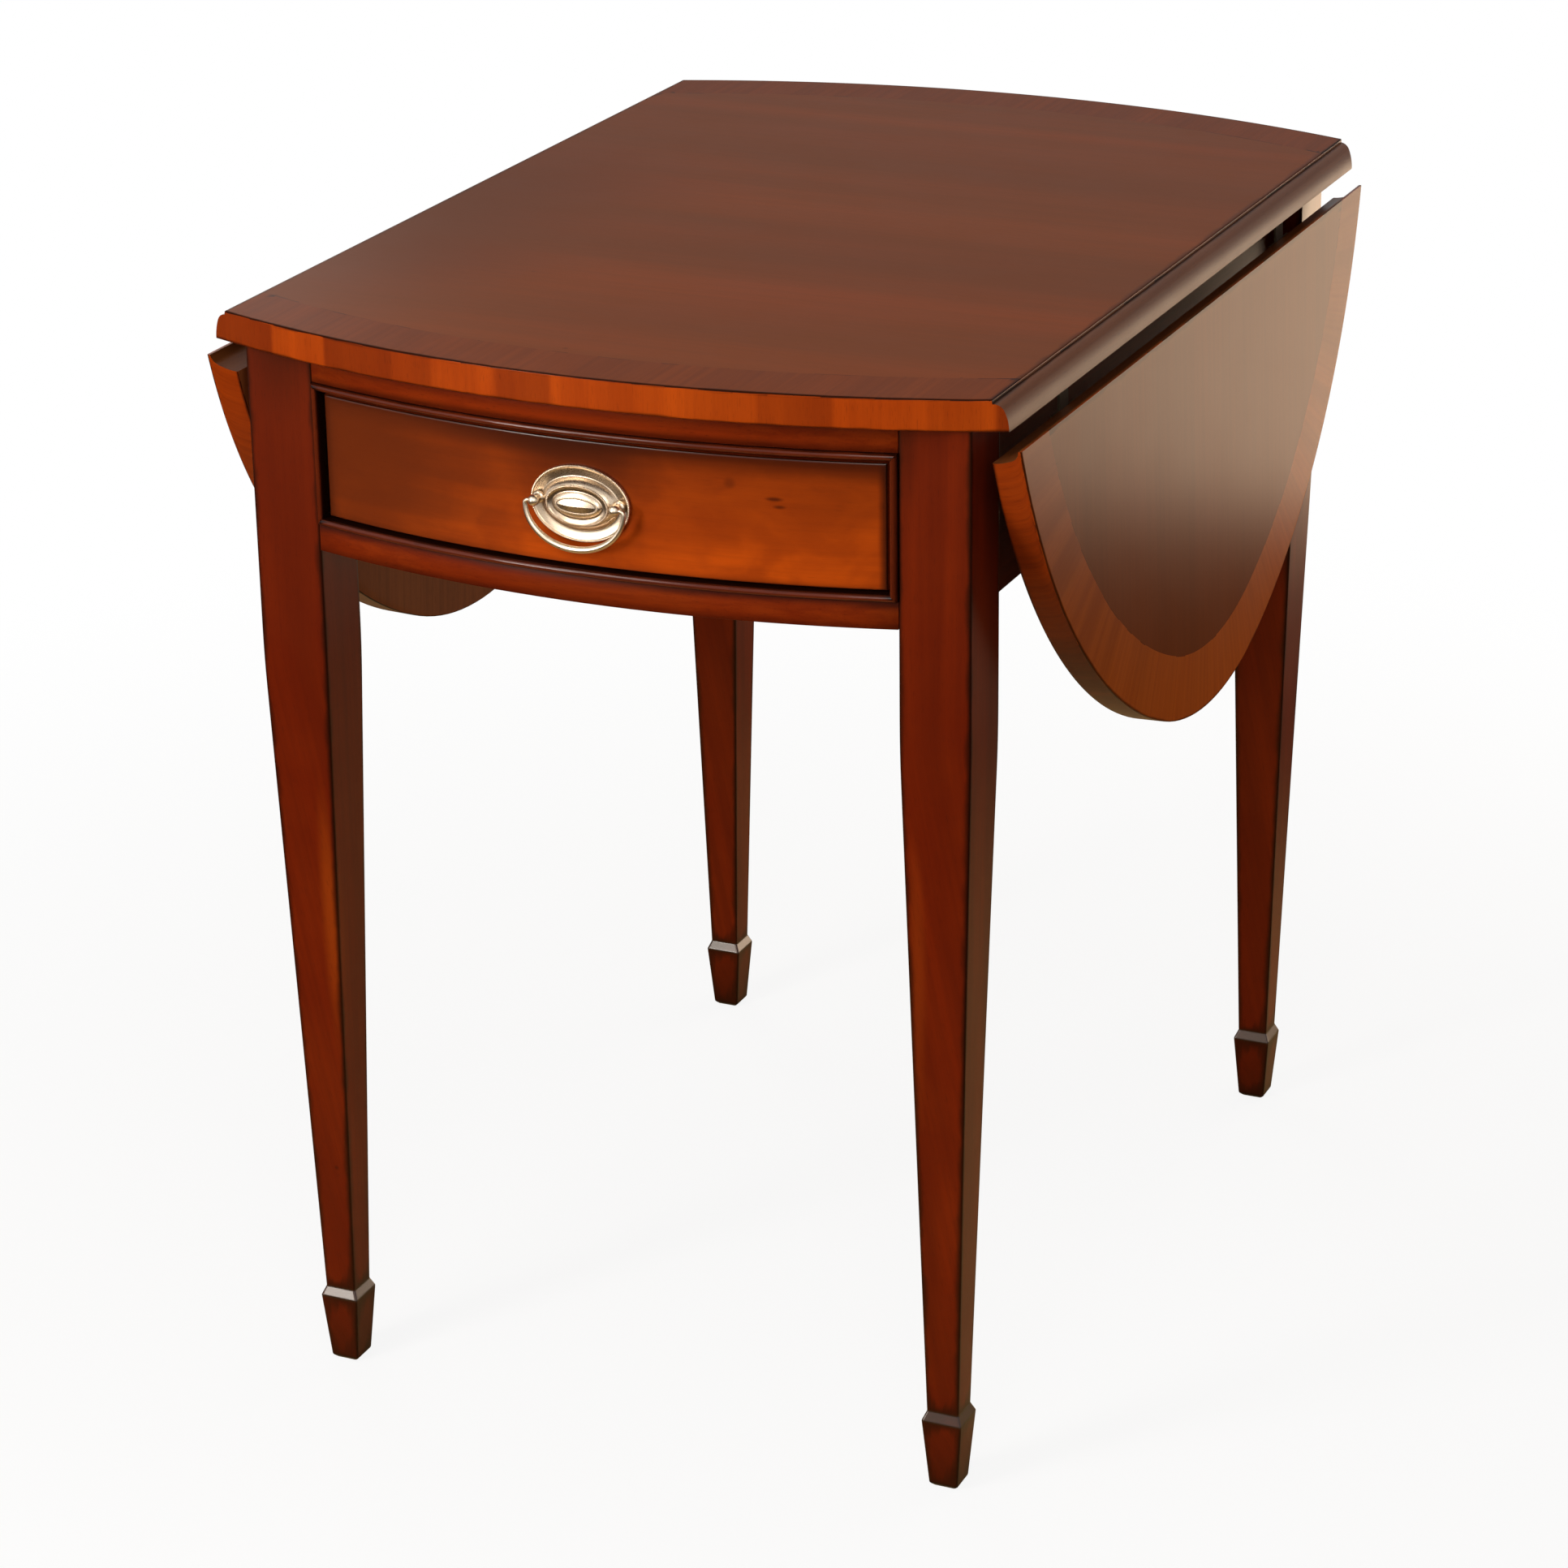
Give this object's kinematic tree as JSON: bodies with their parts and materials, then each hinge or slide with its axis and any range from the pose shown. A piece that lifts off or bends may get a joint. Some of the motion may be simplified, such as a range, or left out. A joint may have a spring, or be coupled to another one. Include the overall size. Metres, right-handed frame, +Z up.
{
  "type": "pembroke table",
  "caption": "Pembroke table with a bow-ended top, half-oval drop leaves on rule joints, tapered spade-foot legs, a bow-front drawer with an oval bail pull and pull-out leaf supports.",
  "frame": {"origin": "on the floor under the middle of the table", "axes": "+Z up, -Y towards the drawer pull, +X to the right seen from the drawer"},
  "size_m": [0.5426, 0.7346, 0.711],
  "materials": {
    "mahogany": "satin lacquer over red-brown stain",
    "top_veneer": "satin lacquer over red-brown stain",
    "crossband": "satin lacquer, grain across the edge",
    "cock_bead": "satin lacquer, darkened quirks",
    "drawer_veneer": "satin lacquer, darkened towards the edges",
    "secondary_wood": "plain sealed wood",
    "antique_brass": "aged, polished on the high spots",
    "hinge_steel": "dull plated steel"
  },
  "bodies": {
    "table_frame": {"leg_front_left": "mahogany", "leg_back_left": "mahogany", "leg_front_right": "mahogany", "leg_back_right": "mahogany", "front_top_rail": "mahogany", "front_bottom_rail": "mahogany", "back_rail": "mahogany", "side_rail_left": "mahogany", "side_rail_right": "mahogany", "top_board": "top_veneer", "crossband_front": "crossband", "crossband_back": "crossband", "bead_top": "cock_bead", "bead_bottom": "cock_bead", "bead_left": "cock_bead", "bead_right": "cock_bead", "runner_left": "secondary_wood", "runner_right": "secondary_wood", "kicker_left": "secondary_wood", "kicker_right": "secondary_wood", "drawer_stops": "secondary_wood", "glue_blocks": "secondary_wood", "back_cleat": "secondary_wood", "support_keeper": "secondary_wood", "hinge_top_left_front": "hinge_steel", "hinge_top_left_back": "hinge_steel", "hinge_top_right_front": "hinge_steel", "hinge_top_right_back": "hinge_steel", "hinge_pin_left_front": "hinge_steel", "hinge_pin_left_back": "hinge_steel", "hinge_pin_right_front": "hinge_steel", "hinge_pin_right_back": "hinge_steel", "hinge_screws_top": "hinge_steel", "top_screws": "hinge_steel"},
    "left_leaf": {"leaf_left": "top_veneer", "leaf_crossband_left": "crossband", "hinge_leaf_left_front": "hinge_steel", "hinge_leaf_left_back": "hinge_steel", "leaf_screws_left": "hinge_steel"},
    "right_leaf": {"leaf_right": "top_veneer", "leaf_crossband_right": "crossband", "hinge_leaf_right_front": "hinge_steel", "hinge_leaf_right_back": "hinge_steel", "leaf_screws_right": "hinge_steel"},
    "left_support": {"leaf_support_left": "secondary_wood", "support_peg_left": "secondary_wood"},
    "right_support": {"leaf_support_right": "secondary_wood", "support_peg_right": "secondary_wood"},
    "drawer": {"drawer_front": "drawer_veneer", "drawer_side_left": "secondary_wood", "drawer_side_right": "secondary_wood", "drawer_back": "secondary_wood", "drawer_bottom": "secondary_wood", "pull_backplate": "antique_brass", "pull_post_left": "antique_brass", "pull_post_right": "antique_brass", "pull_nuts": "antique_brass"},
    "bail": {"pull_bail": "antique_brass"}
  },
  "joints": [
    {"name": "left_leaf_lift", "type": "hinge", "parent": "table_frame", "child": "left_leaf", "pos_m": [-0.239, 0, 0.688], "axis": [0, 1, 0], "range_deg": [0, 88]},
    {"name": "right_leaf_lift", "type": "hinge", "parent": "table_frame", "child": "right_leaf", "pos_m": [0.239, 0, 0.688], "axis": [0, -1, 0], "range_deg": [0, 88]},
    {"name": "drawer_slide", "type": "slide", "parent": "table_frame", "child": "drawer", "axis": [0, -1, 0], "range_m": [0, 0.38]},
    {"name": "bail_swing", "type": "hinge", "parent": "drawer", "child": "bail", "pos_m": [0, -0.35439, 0.629], "axis": [-1, 0, 0], "range_deg": [0, 170]},
    {"name": "left_support_slide", "type": "slide", "parent": "table_frame", "child": "left_support", "axis": [-1, 0, 0], "range_m": [0, 0.125]},
    {"name": "right_support_slide", "type": "slide", "parent": "table_frame", "child": "right_support", "axis": [1, 0, 0], "range_m": [0, 0.125]}
  ]
}
